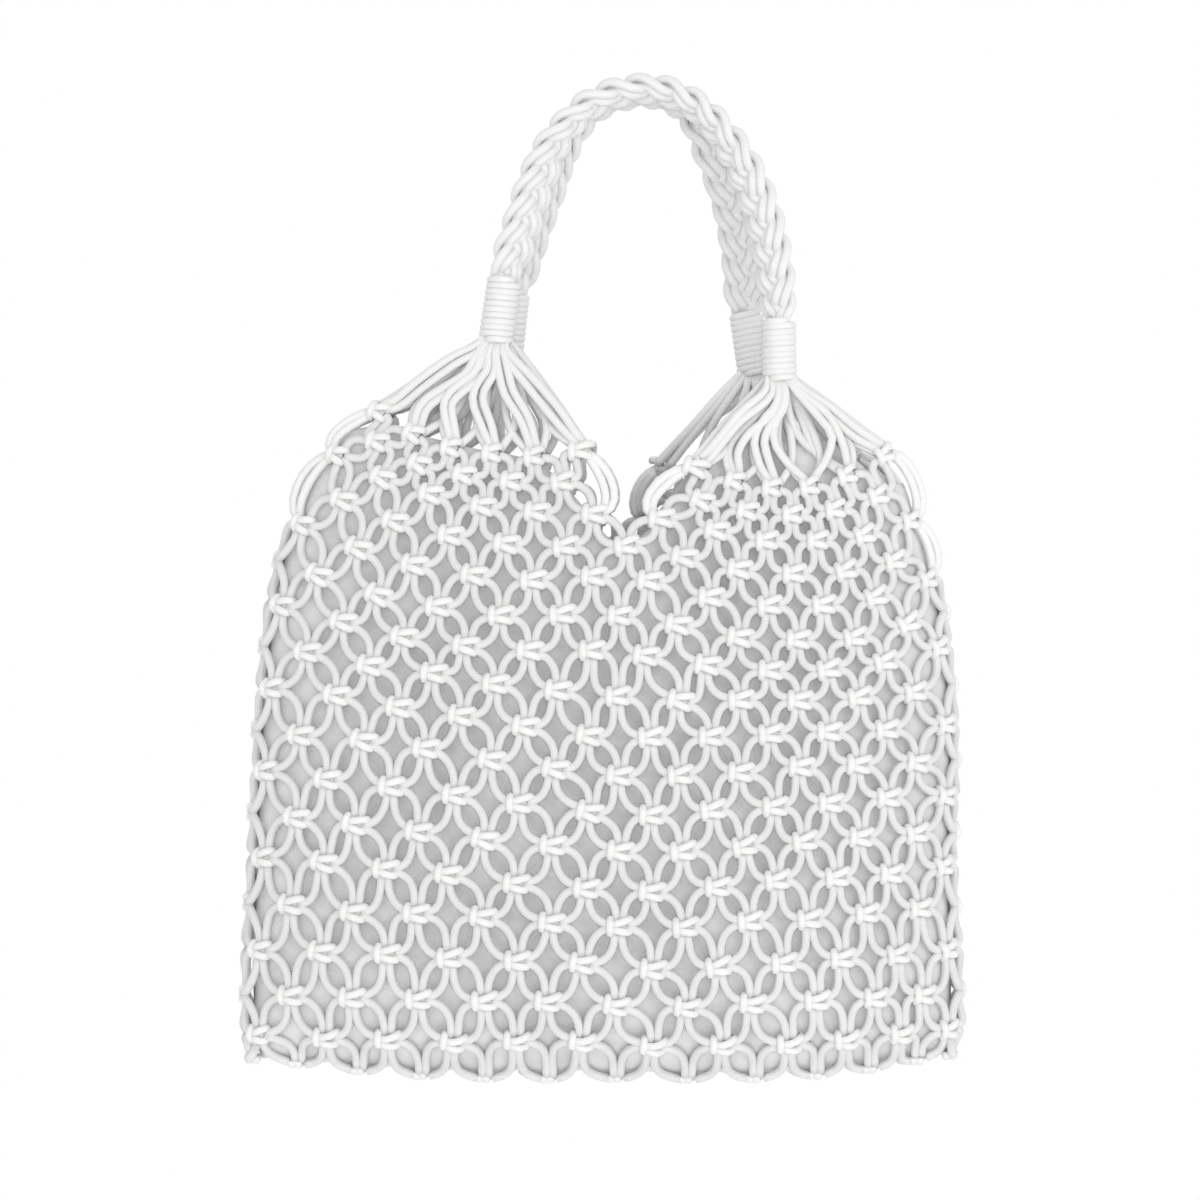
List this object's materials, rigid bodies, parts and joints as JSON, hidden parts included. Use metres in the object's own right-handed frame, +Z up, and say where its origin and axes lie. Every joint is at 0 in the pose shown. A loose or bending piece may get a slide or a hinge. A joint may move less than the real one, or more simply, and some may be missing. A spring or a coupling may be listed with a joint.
{
  "type": "beach tote bag",
  "caption": "Open-topped soft tote of knotted cotton cord net over a plain cloth lining, gathered into bound necks and braided handles, shown hanging by its handles.",
  "frame": {"origin": "where the bag hangs: under the top of the two handles, midway between them", "axes": "+Z up along the bag's height, +X to the right of the front face, front towards -Y"},
  "size_m": [0.3724, 0.093, 0.5062],
  "materials": {
    "cord": "soft matt cotton cord",
    "braid": "braided matt cotton cord",
    "wrap": "wound matt cotton cord",
    "lining": "plain woven cotton cloth"
  },
  "bodies": {
    "root": {"net_front": "cord", "net_back": "cord", "lining": "lining", "fan_front_left": "cord", "fan_front_right": "cord", "fan_back_left": "cord", "fan_back_right": "cord", "collar_front_left": "wrap", "collar_front_right": "wrap", "collar_back_left": "wrap", "collar_back_right": "wrap", "handle_front": "braid", "handle_back": "braid"}
  },
  "joints": []
}
